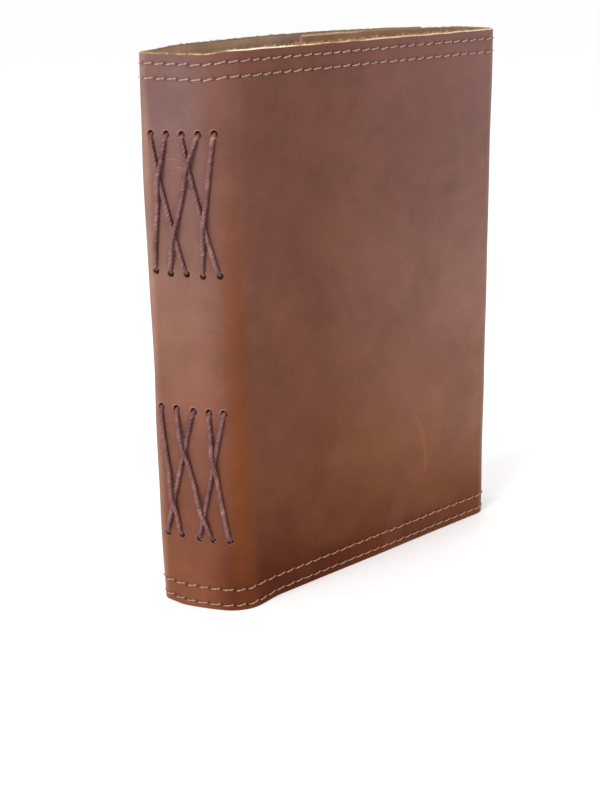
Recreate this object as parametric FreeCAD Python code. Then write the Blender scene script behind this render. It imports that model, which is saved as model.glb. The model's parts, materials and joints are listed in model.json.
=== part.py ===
import FreeCAD, Part
import math
import os

# A hand-sewn leather journal: one hide wraps a block of five sewn signatures.
# It stands upright and closed, with the wrap-around flap tucked inside the back cover.
# Millimetres. +Z is up, along the height of the book. +X runs along the front cover from
# the spine to the fore-edge, and the front cover's grain side faces -Y.
# The origin is the middle of the standing book's footprint.

vec = FreeCAD.Vector
UP = vec(0, 0, 1)

# ---------------------------------------------------------------- driving dimensions
BOOK_HEIGHT = 235.0
HIDE = 2.4                     # thickness of the leather
FOLD_SLIT = 0.15               # half of the slit left at each fold, where two bodies meet

# The hide's section is a walk along its grain side, from the back cover's free edge to the
# flap's free edge. Each step is (length, turn in degrees), and every turn is to the left.
BACK_RUNS = [(67.0, 28.0), (60.0, 12.0), (40.0, 16.0)]
BACK_CORNER = (3.2, 87.0)      # (grain-side radius, turn)
SPINE_FLAT = 32.2
FRONT_CORNER = (6.5, 67.0)
FRONT_FLAT = 151.8
FORE_EDGE_FRONT_CORNER = (7.5, 85.0)
FORE_EDGE_FLAT = 13.0
FORE_EDGE_BACK_CORNER = (7.5, 70.0)
FLAP_RUNS = [(40.0, 14.0), (45.0, 16.0)]

SEAM_INSETS = {"outer": 4.1, "inner": 9.9}   # two parallel rows of stitching along an edge
THREAD_WIDTH = 0.9
THREAD_PROUD = 0.6
THREAD_GAP = 0.05              # thread lies this far off the leather
THREAD_FOLD_GAP = 1.8          # thread stops this far from a fold, which bends the other way

SIGNATURES = 5                 # 1 is next to the back cover, 5 is next to the front cover
HOLE_PITCH = 7.31
FIRST_HOLE = 1.0               # from the front corner's end to the fifth column of holes
HOLE_RADIUS = 1.3
CORD_RADIUS = 1.0
LACING_MARGIN = 31.7           # from the hide's end to the nearest row of holes
LACING_LENGTH = 57.0           # from a group's top holes to its bottom holes
CORD_REST = CORD_RADIUS + 0.1  # cord's centre above the leather
CORD_OVER = CORD_REST + 2.1 * CORD_RADIUS
CROSSING_REACH = 0.14          # a cord that passes over another is raised this far each side

PAGE_HEIGHT = 210.0
PAGE_WIDTH = 148.0
SIGNATURE_HALF = 2.4           # half of a signature's thickness
FOLD_CLEARANCE = 0.5           # from the leather's flesh side to a signature's fold
FOLD_BORE = 1.2                # the hollow of the fold, where the cord runs
SIGNATURE_TILT = 0.515         # degrees by which each signature leans on the next
KNOT_RADIUS = 1.9
KNOT_POCKET = 2.2
KNOT_BELOW_STATION = 24.0      # each cord's knot lies inside the third signature's fold

# Each outside run of the lacing: (top hole, bottom hole, where along it it passes over others)
UPPER_RUNS = [(1, 3, []), (3, 5, []), (2, 1, [1 / 3]), (4, 2, [1 / 4, 3 / 4]), (5, 4, [2 / 3])]
LOWER_RUNS = [(3, 1, []), (5, 3, []), (1, 2, [2 / 3]), (2, 4, [1 / 4, 3 / 4]), (4, 5, [1 / 3])]


# ---------------------------------------------------------------- the hide's section
def arc_step(radius_and_turn):
    """Half of a rounded corner, as a (length, turn) step."""
    radius, turn = radius_and_turn
    return radius * math.radians(turn / 2), turn / 2


def panels():
    """The hide's panels in order, each a list of steps. Neighbours share a corner's middle."""
    back, front = arc_step(BACK_CORNER), arc_step(FRONT_CORNER)
    first, second = arc_step(FORE_EDGE_FRONT_CORNER), arc_step(FORE_EDGE_BACK_CORNER)
    return {
        "back_cover": BACK_RUNS + [back],
        "spine": [back, (SPINE_FLAT, 0.0), front],
        "front_cover": [front, (FRONT_FLAT, 0.0), first],
        "fore_edge": [first, (FORE_EDGE_FLAT, 0.0), second],
        "flap": [second] + FLAP_RUNS,
    }


def advance(pose, length, turn):
    """The pose (x, y, heading in radians) after one step."""
    x, y, heading = pose
    middle = heading + math.radians(turn) / 2
    chord = length
    if turn:
        chord = 2 * length / math.radians(turn) * math.sin(math.radians(turn) / 2)
    return x + chord * math.cos(middle), y + chord * math.sin(middle), heading + math.radians(turn)


def walk():
    """Each panel's start pose, with the front cover's grain side on y = 0, heading +X."""
    before = ["back_cover", "spine"]
    turned = sum(turn for name in before for _, turn in panels()[name]) + FRONT_CORNER[1] / 2
    pose = (0.0, 0.0, -math.radians(turned))
    starts = {}
    for name, steps in panels().items():
        starts[name] = pose
        for length, turn in steps:
            pose = advance(pose, length, turn)
    x, y, _ = advance(starts["front_cover"], *arc_step(FRONT_CORNER))
    return {name: (px - x, py - y, h) for name, (px, py, h) in starts.items()}


STARTS = walk()


def panel_length(name):
    return sum(length for length, _ in panels()[name])


def pose_at(name, distance):
    """The pose on a panel's grain side, a distance along it."""
    pose = STARTS[name]
    for length, turn in panels()[name]:
        part = min(length, distance)
        pose = advance(pose, part, turn * part / length)
        distance -= part
        if distance <= 0:
            break
    return pose


def inward(pose, depth):
    """The point at a depth under the grain side. A negative depth is outside the hide."""
    x, y, heading = pose
    return vec(x - depth * math.sin(heading), y + depth * math.cos(heading), 0)


def band(name, start, end, depth_from, depth_to):
    """The flat face between two depths of a panel, from one distance along it to another."""
    stops = [start]
    along = 0.0
    for length, _ in panels()[name]:
        along += length
        if start < along < end:
            stops.append(along)
    stops.append(end)

    def curve(depth):
        edges = []
        for near, far in zip(stops, stops[1:]):
            a, m, b = [inward(pose_at(name, d), depth) for d in (near, (near + far) / 2, far)]
            straight = abs((m - a).cross(b - a).z) < 1e-6
            edges.append(Part.LineSegment(a, b).toShape() if straight else Part.Arc(a, m, b).toShape())
        return edges

    ends = [
        Part.LineSegment(inward(pose_at(name, d), depth_from), inward(pose_at(name, d), depth_to))
        for d in (start, end)
    ]
    edges = curve(depth_from) + curve(depth_to) + [line.toShape() for line in ends]
    return Part.Face(Part.Wire(Part.__sortEdges__(edges)))


def raise_face(face, low, high):
    face.translate(vec(0, 0, low))
    return face.extrude(vec(0, 0, high - low))


# ---------------------------------------------------------------- leather and stitching
def trimmed(name):
    """Where a panel begins and ends, with its half of the slit at each fold taken off."""
    names = list(panels())
    start = 0.0 if name == names[0] else FOLD_SLIT
    end = panel_length(name) - (0.0 if name == names[-1] else FOLD_SLIT)
    return start, end


def lacing_stations():
    """Height of each group's top holes and bottom holes."""
    upper = BOOK_HEIGHT - LACING_MARGIN
    lower = LACING_MARGIN + LACING_LENGTH
    return {"upper": (upper, upper - LACING_LENGTH), "lower": (lower, lower - LACING_LENGTH)}


def column_pose(column):
    """Where a column of holes stands on the spine's flat."""
    front_half = arc_step(FRONT_CORNER)[0]
    from_front = front_half + FIRST_HOLE + (SIGNATURES - column) * HOLE_PITCH
    return pose_at("spine", panel_length("spine") - from_front)


def leather_panel(name):
    start, end = trimmed(name)
    solid = raise_face(band(name, start, end, 0.0, HIDE), 0.0, BOOK_HEIGHT)
    if name != "spine":
        return solid
    holes = []
    for column in range(1, SIGNATURES + 1):
        pose = column_pose(column)
        outside, inside = inward(pose, -1.0), inward(pose, HIDE + 1.0)
        for station in lacing_stations().values():
            for z in station:
                base = outside + UP * z
                holes.append(Part.makeCylinder(HOLE_RADIUS, HIDE + 2.0, base, inside - outside))
    return solid.cut(Part.makeCompound(holes)).Solids[0]


def edge_rows(name):
    """The two rows along a panel's top edge and the two along its bottom edge."""
    rows = {}
    for row, inset in SEAM_INSETS.items():
        first = inset if name == "back_cover" else THREAD_FOLD_GAP
        last = panel_length(name) - (inset if name == "flap" else THREAD_FOLD_GAP)
        for edge, z in (("top", BOOK_HEIGHT - inset), ("bottom", inset)):
            face = band(name, first, last, -THREAD_GAP - THREAD_PROUD, -THREAD_GAP)
            rows[f"{name}_{edge}_{row}_stitches"] = raise_face(
                face, z - THREAD_WIDTH / 2, z + THREAD_WIDTH / 2
            )
    return rows


def end_rows(name):
    """The two rows along a free vertical edge, between the top and bottom rows."""
    rows = {}
    for row, inset in SEAM_INSETS.items():
        middle = inset if name == "back_cover" else panel_length(name) - inset
        face = band(name, middle - THREAD_WIDTH / 2, middle + THREAD_WIDTH / 2,
                    -THREAD_GAP - THREAD_PROUD, -THREAD_GAP)
        clear = inset + THREAD_WIDTH
        rows[f"{name}_free_edge_{row}_stitches"] = raise_face(face, clear, BOOK_HEIGHT - clear)
    return rows


# ---------------------------------------------------------------- lacing and signatures
def fold_point(column):
    """The middle of a signature's fold, straight behind its column of holes."""
    return inward(column_pose(column), HIDE + FOLD_CLEARANCE + SIGNATURE_HALF)


def rod(start, end, radius):
    along = end - start
    return Part.makeCylinder(radius, along.Length, start, along)


def outside_run(top, bottom, crossings, station):
    """The points of one outside run, from its top hole to its bottom hole."""
    def point(share, height):
        column = top + (bottom - top) * share
        z = station[0] + (station[1] - station[0]) * share
        return inward(column_pose(column), -height) + UP * z

    points = [point(0.0, CORD_REST)]
    if crossings:
        points.append(point(crossings[0] - CROSSING_REACH, CORD_OVER))
        points.append(point(crossings[-1] + CROSSING_REACH, CORD_OVER))
    points.append(point(1.0, CORD_REST))
    return points


def lacing_cord(runs, station):
    """One closed loop of cord: outside runs, stubs through the hide, runs inside the folds."""
    rods, bends = [], []
    for top, bottom, crossings in runs:
        points = outside_run(top, bottom, crossings, station)
        rods += [rod(a, b, CORD_RADIUS) for a, b in zip(points, points[1:])]
        bends += points
    for column in range(1, SIGNATURES + 1):
        folds = [fold_point(column) + UP * z for z in station]
        rods.append(rod(folds[0], folds[1], CORD_RADIUS))
        for fold, z in zip(folds, station):
            rods.append(rod(inward(column_pose(column), -CORD_REST) + UP * z, fold, CORD_RADIUS))
        bends += folds
    shapes = rods + [Part.makeSphere(CORD_RADIUS, point) for point in bends]
    knot_z = station[0] - KNOT_BELOW_STATION
    shapes.append(Part.makeSphere(KNOT_RADIUS, fold_point(3) + UP * knot_z))
    return shapes[0].multiFuse(shapes[1:]).removeSplitter().Solids[0]


def signature(number):
    """A folded gathering of sheets: round at its fold, with a hollow where the cord runs."""
    half = SIGNATURE_HALF
    low = (BOOK_HEIGHT - PAGE_HEIGHT) / 2
    reach = PAGE_WIDTH - half
    edges = [
        Part.LineSegment(vec(0, half, 0), vec(reach, half, 0)).toShape(),
        Part.LineSegment(vec(reach, half, 0), vec(reach, -half, 0)).toShape(),
        Part.LineSegment(vec(reach, -half, 0), vec(0, -half, 0)).toShape(),
        Part.Arc(vec(0, -half, 0), vec(-half, 0, 0), vec(0, half, 0)).toShape(),
    ]
    block = Part.Face(Part.Wire(edges)).extrude(vec(0, 0, PAGE_HEIGHT))
    cuts = [Part.makeCylinder(FOLD_BORE, PAGE_HEIGHT)]
    notch = 2 * HOLE_RADIUS + 0.6
    for station in lacing_stations().values():
        for z in station:
            corner = vec(-half - 1.0, -half - 1.0, z - low - notch / 2)
            cuts.append(Part.makeBox(half + 1.0 + FOLD_BORE, 2 * half + 2.0, notch, corner))
        if number == 3:
            knot = vec(0, 0, station[0] - KNOT_BELOW_STATION - low - KNOT_POCKET)
            cuts.append(Part.makeCylinder(KNOT_POCKET, 2 * KNOT_POCKET, knot))
    block = block.cut(Part.makeCompound(cuts)).Solids[0]
    block.rotate(vec(0, 0, 0), UP, -SIGNATURE_TILT * (SIGNATURES - number))
    block.translate(fold_point(number) + UP * low)
    return block


# ---------------------------------------------------------------- the whole book
def build():
    nodes = {}
    for name in panels():
        nodes[f"{name}_leather"] = leather_panel(name)
        nodes.update(edge_rows(name))
    nodes.update(end_rows("back_cover"))
    nodes.update(end_rows("flap"))
    for number in range(1, SIGNATURES + 1):
        nodes[f"signature_{number}"] = signature(number)
    nodes["upper_lacing_cord"] = lacing_cord(UPPER_RUNS, lacing_stations()["upper"])
    nodes["lower_lacing_cord"] = lacing_cord(LOWER_RUNS, lacing_stations()["lower"])
    return nodes


nodes = build()
box = Part.makeCompound(list(nodes.values())).BoundBox
to_origin = vec(-box.Center.x, -box.Center.y, -box.ZMin)
os.makedirs("parts", exist_ok=True)
for name, shape in nodes.items():
    shape.translate(to_origin)
    shape.exportStep(f"parts/{name}.step")
    print(name, "valid" if shape.isValid() else "NOT VALID", round(shape.Volume, 1))

print("book", round(box.XLength, 2), round(box.YLength, 2), round(box.ZLength, 2))
fold_ends = [("back_cover_hinge", "spine"), ("front_cover_hinge", "front_cover"),
             ("fore_edge_hinge", "fore_edge"), ("flap_hinge", "flap")]
for joint, name in fold_ends:
    spot = inward(STARTS[name], 0.0) + to_origin
    print(joint, round(spot.x, 4), round(spot.y, 4))
for number in range(1, SIGNATURES + 1):
    spot = fold_point(number) + to_origin
    print("signature hinge", number, round(spot.x, 4), round(spot.y, 4))
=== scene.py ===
import json
import math

import bpy
import numpy as np
from mathutils import Matrix, Vector


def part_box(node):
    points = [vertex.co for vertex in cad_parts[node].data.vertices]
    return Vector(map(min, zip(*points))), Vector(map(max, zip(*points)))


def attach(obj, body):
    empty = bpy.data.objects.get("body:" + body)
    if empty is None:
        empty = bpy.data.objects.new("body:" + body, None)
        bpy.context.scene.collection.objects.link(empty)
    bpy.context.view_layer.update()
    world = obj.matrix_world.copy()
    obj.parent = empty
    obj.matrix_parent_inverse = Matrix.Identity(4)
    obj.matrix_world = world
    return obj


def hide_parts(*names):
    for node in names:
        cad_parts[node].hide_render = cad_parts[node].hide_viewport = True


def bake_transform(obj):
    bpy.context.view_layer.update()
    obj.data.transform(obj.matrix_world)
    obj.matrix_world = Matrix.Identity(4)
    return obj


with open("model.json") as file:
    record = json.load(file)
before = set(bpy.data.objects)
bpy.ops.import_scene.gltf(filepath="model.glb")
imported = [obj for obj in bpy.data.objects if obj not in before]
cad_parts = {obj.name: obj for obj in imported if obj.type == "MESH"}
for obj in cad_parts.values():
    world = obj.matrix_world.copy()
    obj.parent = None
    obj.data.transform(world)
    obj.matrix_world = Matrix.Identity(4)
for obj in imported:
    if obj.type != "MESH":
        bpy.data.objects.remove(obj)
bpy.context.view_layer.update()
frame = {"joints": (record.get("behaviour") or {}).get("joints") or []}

MM = 0.001
JOINTS = {joint["name"]: joint for joint in frame["joints"]}

# ---------------- sizes, in metres
BOOK_HEIGHT = 235.0 * MM
HIDE = 2.4 * MM
BACK_RUNS = ((67.0, 28.0), (60.0, 12.0), (40.0, 16.0))  # (mm, turn in degrees)
BACK_CORNER = (3.2, 87.0)  # (grain-side radius in mm, turn)
SPINE_FLAT = 32.2
FRONT_CORNER = (6.5, 67.0)
FRONT_FLAT = 151.8
FORE_EDGE_FRONT_CORNER = (7.5, 85.0)
FORE_EDGE_FLAT = 13.0
FORE_EDGE_BACK_CORNER = (7.5, 70.0)
FLAP_RUNS = ((40.0, 14.0), (45.0, 16.0))
SEAM_INSETS = (4.1 * MM, 9.9 * MM)
STITCH_PITCH = 5.55 * MM

COLUMNS = 5
HOLE_PITCH = 7.31 * MM
FIRST_HOLE = 1.0 * MM
LACING_MARGIN = 31.7 * MM
LACING_LENGTH = 57.0 * MM
CORD_RADIUS = 1.06 * MM
FOLD_DEPTH = HIDE + 0.5 * MM + 2.4 * MM  # from the grain side to a cord in a fold

PAGE_HEIGHT = 210.0 * MM
PAGE_WIDTH = 148.0 * MM
SIGNATURE_HALF = 2.4 * MM
SIGNATURE_TILT = 0.515


def add_object(name, data):
    made = bpy.data.objects.new(name, data)
    bpy.context.scene.collection.objects.link(made)
    return made


# ---------------- camera
CAMERA_TURN = (42.85, 17.72, -0.91)  # yaw, pitch and roll in degrees
CAMERA_PLACE = (-0.3662, -0.4371, 0.27745)  # from the foot of the front corner
LENS = 65.74  # in mm, on a sensor 36 mm wide


def place_camera():
    """Stand the camera off the front corner, a little above the book and looking down at it."""
    corner_x = JOINTS["front_cover_hinge"]["pos_m"][0] - 2.3 * MM
    front_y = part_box("front_cover_leather")[0].y
    yaw, pitch, roll = (math.radians(angle) for angle in CAMERA_TURN)
    forward = Vector((math.sin(yaw) * math.cos(pitch), math.cos(yaw) * math.cos(pitch), -math.sin(pitch)))
    level = Vector((math.cos(yaw), -math.sin(yaw), 0.0))
    upright = level.cross(forward)
    right = math.cos(roll) * level + math.sin(roll) * upright
    up = math.cos(roll) * upright - math.sin(roll) * level
    place = Matrix((right, up, -forward)).transposed().to_4x4()
    place.translation = Vector((corner_x, front_y, 0.0)) + Vector(CAMERA_PLACE)
    data = bpy.data.cameras.new("camera")
    data.lens = LENS
    data.sensor_width = 36.0
    data.clip_start = 0.01
    camera = add_object("camera", data)
    camera.matrix_world = place
    bpy.context.scene.camera = camera


place_camera()


# ---------------- small helpers
def smooth(low, high, value):
    """0 below low, 1 above high, and an even S between them. low may be the larger one."""
    share = np.clip((value - low) / (high - low), 0.0, 1.0)
    return share * share * (3 - 2 * share)


def plateau(value, low, low_top, high, high_top):
    """1 between low_top and high_top, easing to 0 at low and at high. These four are in mm."""
    return smooth(low * MM, low_top * MM, value) * smooth(high * MM, high_top * MM, value)


def waves(s, z, seed, lengths, count=7):
    """Soft random waves over the sheet, about -1 to 1, with the given wavelengths in mm."""
    rng = np.random.default_rng(seed)
    total = np.zeros(np.broadcast(s, z).shape)
    for _ in range(count):
        length = rng.uniform(*lengths) * MM
        angle = rng.uniform(0, 2 * math.pi)
        phase = rng.uniform(0, 2 * math.pi)
        turn = 2 * math.pi / length
        total = total + np.sin(turn * (s * math.cos(angle) + z * math.sin(angle)) + phase)
    return total / math.sqrt(count)


# ---------------- the hide as one bent sheet
# s runs along the grain side, 0 at the front corner's middle, plus towards the front cover.
def corner_step(radius_and_turn):
    radius, turn = radius_and_turn
    return radius * math.radians(turn), turn


STEPS = (
    BACK_RUNS
    + (corner_step(BACK_CORNER), (SPINE_FLAT, 0.0), corner_step(FRONT_CORNER), (FRONT_FLAT, 0.0))
    + (corner_step(FORE_EDGE_FRONT_CORNER), (FORE_EDGE_FLAT, 0.0), corner_step(FORE_EDGE_BACK_CORNER))
    + FLAP_RUNS
)
FRONT_HALF = corner_step(FRONT_CORNER)[0] / 2 * MM
BACK_ARC = corner_step(BACK_CORNER)[0] * MM
S_MIN = -(sum(length for length, _ in STEPS[:5]) * MM + FRONT_HALF)
S_MAX = S_MIN + sum(length for length, _ in STEPS) * MM
SPINE_END = -FRONT_HALF - SPINE_FLAT * MM  # where the back corner's arc begins
BACK_FOLD = SPINE_END - BACK_ARC / 2
FORE_FOLD = FRONT_HALF + FRONT_FLAT * MM + corner_step(FORE_EDGE_FRONT_CORNER)[0] / 2 * MM
FLAP_FOLD = (
    FORE_FOLD + corner_step(FORE_EDGE_FRONT_CORNER)[0] / 2 * MM + FORE_EDGE_FLAT * MM
    + corner_step(FORE_EDGE_BACK_CORNER)[0] / 2 * MM
)
HINGE_HEADING = -FRONT_CORNER[1] / 2
ANCHOR = 12.0 * MM  # the sheet keeps its place here at every height

S_STEP = 0.25 * MM
Z_STEP = 1.0 * MM
S_TABLE = np.arange(S_MIN, S_MAX + S_STEP, S_STEP)
Z_TABLE = np.arange(0.0, BOOK_HEIGHT + Z_STEP / 2, Z_STEP)


def plain_heading(s):
    """The section's heading in radians, with each change of curvature eased a little."""
    knots = S_MIN + np.concatenate([[0.0], np.cumsum([length for length, _ in STEPS])]) * MM
    turns = np.concatenate([[0.0], np.cumsum([turn for _, turn in STEPS])])
    turns += HINGE_HEADING - np.interp(0.0, knots, turns)
    eased = [np.interp(s + ease * MM, knots, turns) for ease in (-1.0, -0.5, 0.0, 0.5, 1.0)]
    return np.radians(sum(eased) / len(eased))


def by_height(z, *pairs):
    """A value that changes smoothly with height, through (height in mm, value) pairs."""
    heights, values = zip(*pairs)
    soft = [np.interp(z / MM + shift, heights, values) for shift in (-12, -6, 0, 6, 12)]
    return sum(soft) / len(soft)


def heading(s, z):
    """The heading with the unevenness that a hand-folded hide has at each height."""
    early = by_height(
        z, (0, 1.4), (15, 1.2), (33, 0.4), (45, 0.2), (66, 0.55), (87, 0.75), (108, 0.7), (125, 0.2),
        (148, -0.6), (168, -0.2), (202, -1.15), (225, -0.4), (235, 0.5),
    ) * MM
    wide = by_height(z, (0, 1.75), (40, 1.35), (200, 1.35), (235, 1.9))
    lean = by_height(z, (0, -1.0), (60, -1.0), (110, 1.0), (148, 2.6), (200, 4.8), (235, 5.5))
    bowed = by_height(z, (0, 11.0), (30, 5.0), (80, 2.0), (160, 2.0), (235, 3.0))
    at_back = plateau(s, -15, -28, -110, -55)
    at_front = plateau(s, -26, -13, 26, 13)
    moved = s - early * at_back
    moved = moved + (moved / wide - moved) * at_front
    on_spine = smooth(5 * MM, -5 * MM, s) * smooth(SPINE_END - 4 * MM, SPINE_END + 1 * MM, s - early)
    across = np.clip((s + 20 * MM) / (16 * MM), -1.0, 1.0)
    close = -10.5 * plateau(s, -40, -43, -73, -63)
    away = 3.1 * plateau(s, -63, -73, -163, -153)
    behind = (close + away) * by_height(z, (110, 0.0), (200, 0.8), (235, 1.0))
    return plain_heading(moved) + np.radians((bowed * across - lean) * on_spine + behind)


def walk_sheet():
    """The grain side's x, y and heading on the table, walked along the sheet at each height."""
    s, z = np.meshgrid(S_TABLE, Z_TABLE, indexing="ij")
    turned = heading(s, z)
    between = (turned[1:] + turned[:-1]) / 2
    first = np.zeros((1, len(Z_TABLE)))
    x = np.concatenate([first, np.cumsum(np.cos(between) * S_STEP, axis=0)])
    y = np.concatenate([first, np.cumsum(np.sin(between) * S_STEP, axis=0)])
    plain = plain_heading(S_TABLE)
    middle = (plain[1:] + plain[:-1]) / 2
    zero = int(round(-S_MIN / S_STEP))
    anchor = int(round((ANCHOR - S_MIN) / S_STEP))
    pivot = JOINTS["front_cover_hinge"]["pos_m"]
    anchor_x = pivot[0] + np.sum(np.cos(middle[zero:anchor])) * S_STEP
    anchor_y = pivot[1] + np.sum(np.sin(middle[zero:anchor])) * S_STEP
    eased = 1 - smooth(ANCHOR, FORE_FOLD - 12 * MM, s)
    slid = by_height(z, (0, 2.3), (33, 2.3), (87, 1.5), (148, 1.3), (202, 0.6), (235, 0.2)) * MM * eased
    bulge = by_height(
        z, (0, 0.8), (104, 0.85), (122, 1.1), (135, 1.7), (148, 1.3), (165, 0.9), (200, 1.05), (235, 1.5),
    )
    slid += bulge * MM * smooth(80 * MM, 150 * MM, s)
    return x + anchor_x - x[anchor] + slid, y + anchor_y - y[anchor], turned


SHEET_X, SHEET_Y, SHEET_HEADING = walk_sheet()


def sample(table, s, z):
    """A table's value between its knots."""
    i = np.clip((s - S_MIN) / S_STEP, 0, len(S_TABLE) - 1.001)
    j = np.clip(z / Z_STEP, 0, len(Z_TABLE) - 1.001)
    i0, j0 = i.astype(int), j.astype(int)
    u, v = i - i0, j - j0
    low = table[i0, j0] * (1 - u) + table[i0 + 1, j0] * u
    high = table[i0, j0 + 1] * (1 - u) + table[i0 + 1, j0 + 1] * u
    return low * (1 - v) + high * v


def sag(s, z):
    """How far the leather stands under its even height: the spine dips at its top and above its foot."""
    window = plateau(s, -66, -40, 3, -9)
    foot = plateau(s, -40, -22, 20, 0)
    low = plateau(z, 0, 7, 27, 11)
    return 1.25 * MM * window * smooth(170 * MM, 232 * MM, z) + 0.9 * MM * foot * low


def row_dip(s, z):
    """The outer row of stitches runs close to the bottom edge, and closest below the front corner."""
    window = plateau(s, -44, -12, 30, 2)
    near = np.exp(-((z - SEAM_INSETS[0]) / (2.7 * MM)) ** 2) * smooth(0.0, 2.5 * MM, z)
    return (0.9 + 0.75 * window) * MM * near


def swell(s, z):
    """How far the sheet stands out from its even section."""
    soft = 0.26 * MM * waves(s, z, 3, (45, 110))
    flare = 2.3 * MM * np.exp(-z / (7 * MM)) * plateau(s, -37, -24, 22, 5)
    ends = smooth(BACK_FOLD - 30 * MM, BACK_FOLD - 5 * MM, s) * smooth(FLAP_FOLD, FORE_FOLD, s)
    return soft * (0.45 + 0.55 * ends) + flare


def on_sheet(s, z, depth):
    """Points at a depth under the grain side. A negative depth is outside the hide."""
    s, z, depth = np.broadcast_arrays(*(np.asarray(a, float) for a in (s, z, depth)))
    z = z - row_dip(s, z)
    level = np.clip(z, 0.0, BOOK_HEIGHT)
    turned = sample(SHEET_HEADING, s, level)
    inwards = depth - swell(s, level)
    x = sample(SHEET_X, s, level) - inwards * np.sin(turned)
    y = sample(SHEET_Y, s, level) + inwards * np.cos(turned)
    return np.stack([x, y, z - sag(s, level)], axis=-1)


def spot(s, z=BOOK_HEIGHT / 2, depth=0.0):
    return Vector(on_sheet(s, z, depth).tolist())


# ---------------- where the grid and needles go
CELL = HOLE_PITCH / 6
FIFTH_COLUMN = -(FRONT_HALF + FIRST_HOLE)
STATIONS = {
    "upper": (BOOK_HEIGHT - LACING_MARGIN, BOOK_HEIGHT - LACING_MARGIN - LACING_LENGTH),
    "lower": (LACING_MARGIN + LACING_LENGTH, LACING_MARGIN),
}
# how far each hand-punched hole is from its even place: (mm towards the front cover, mm up)
HOLE_WANDER = {
    STATIONS["upper"][0]: ((-0.2, -0.4), (0.05, -0.25), (0.15, -0.1), (0.45, 0.3), (0.4, 0.6)),
    STATIONS["upper"][1]: ((-0.4, 0.3), (-0.65, -0.3), (-0.35, 0.05), (-0.1, -0.2), (0.35, 0.4)),
    STATIONS["lower"][0]: ((-0.25, -0.25), (-0.3, -0.35), (0.45, -0.7), (0.35, -0.5), (-0.1, -0.2)),
    STATIONS["lower"][1]: ((0.1, -0.2), (-0.3, -0.3), (0.95, -0.75), (-0.05, -0.8), (0.4, -0.5)),
}
# the grid's knots near each edge, in mm from it: they are closest at the two rows of stitches
END_ZONE = (
    0.35, 0.9, 1.6, 2.4, 3.1, 3.6, 4.1, 4.6, 5.1, 5.9, 6.8, 7.7, 8.6, 9.4, 9.9, 10.4, 11.0, 12.0, 13.2,
)
NEEDLE_HOLE = 0.72 * MM
NEEDLE_PULL = 0.40 * MM  # how deep the thread draws each needle hole in
ROW_PULL = 0.13 * MM  # and how deep the whole row lies
ROW_WIDTH = 0.75 * MM
CORNERS = (
    (BACK_FOLD - 6 * MM, BACK_FOLD + 1 * MM), (-1 * MM, 9 * MM),
    (FORE_FOLD - 8 * MM, FORE_FOLD + 8 * MM), (FLAP_FOLD - 7 * MM, FLAP_FOLD + 7 * MM),
)


def column_s(column):
    return FIFTH_COLUMN - (COLUMNS - column) * HOLE_PITCH


def filled(start, end, widest):
    """Even places from start up to end, without end, no further apart than widest."""
    count = max(1, math.ceil((end - start) / widest - 0.01))
    return [start + (end - start) * k / count for k in range(count)]


def grid_columns():
    fine = [FIFTH_COLUMN + k * CELL / 2 for k in range(-52, 9)]
    zone = END_ZONE[-1] * MM
    columns = [S_MIN + inset * MM for inset in END_ZONE[:-1]]
    columns += filled(S_MIN + zone, CORNERS[0][0], 0.8 * MM)
    columns += filled(CORNERS[0][0], fine[0], CELL / 2)
    columns += fine[:-1]
    columns += filled(fine[-1], CORNERS[1][1], CELL / 2)
    columns += filled(CORNERS[1][1], CORNERS[2][0], 0.8 * MM)
    columns += filled(CORNERS[2][0], CORNERS[3][1], CELL / 2)
    columns += filled(CORNERS[3][1], S_MAX - zone, 0.8 * MM)
    columns += [S_MAX - inset * MM for inset in END_ZONE[::-1]]
    return np.array(columns)


def grid_rows():
    stops = [[END_ZONE[-1] * MM]]
    for z in sorted(HOLE_WANDER):
        stops.append([z + k * CELL for k in (-2, -1, 0, 1, 2)])
    stops.append([BOOK_HEIGHT - END_ZONE[-1] * MM])
    rows = [inset * MM for inset in END_ZONE[:-1]]
    for here, there in zip(stops, stops[1:]):
        rows += here[:-1] + filled(here[-1], there[0], 2.2 * MM)
    return np.array(rows + stops[-1] + [BOOK_HEIGHT - inset * MM for inset in END_ZONE[:-1][::-1]])


GRID_S = grid_columns()
GRID_Z = grid_rows()


def wander(s, z):
    """How far the grid is shifted along and up the sheet, so that it meets the punched holes."""
    along = np.zeros(np.broadcast(s, z).shape)
    up = np.zeros_like(along)
    for height, offsets in HOLE_WANDER.items():
        near = smooth(12 * MM, 3 * MM, np.abs(z - height))
        for column, (offset, rise) in enumerate(offsets, start=1):
            share = near * smooth(3.6 * MM, 2.5 * MM, np.abs(s - column_s(column)))
            along = along + offset * MM * share
            up = up + rise * MM * share
    return along, up


def hole_centre(column, z):
    offset, rise = HOLE_WANDER[z][column - 1]
    return column_s(column) + offset * MM, z + rise * MM


def row_needles(height):
    """Every needle place of one row, unevenly spaced by hand, between the free ends' own rows."""
    inset = min(height, BOOK_HEIGHT - height)
    start, end = S_MIN + inset, S_MAX - inset
    count = round((end - start) / STITCH_PITCH)
    rng = np.random.default_rng(int(height / MM * 10))
    places = np.linspace(start, end, count + 1)
    places[1:-1] += rng.normal(0, 0.22 * MM, count - 1)
    return places


def end_needles(inset):
    return np.array(filled(inset, BOOK_HEIGHT - inset, STITCH_PITCH * 1.02) + [BOOK_HEIGHT - inset])


def nearest(values, places):
    index = np.clip(np.searchsorted(places, values), 1, len(places) - 1)
    return np.minimum(np.abs(values - places[index - 1]), np.abs(values - places[index]))


def row_pull(along, off, within):
    """One row's (pull, hole): along from the nearest needle place, and off the row's line."""
    hole = np.exp(-(along ** 2 + off ** 2) / NEEDLE_HOLE ** 2) * within
    return NEEDLE_PULL * hole + ROW_PULL * np.exp(-(off / ROW_WIDTH) ** 2) * within, hole


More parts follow.
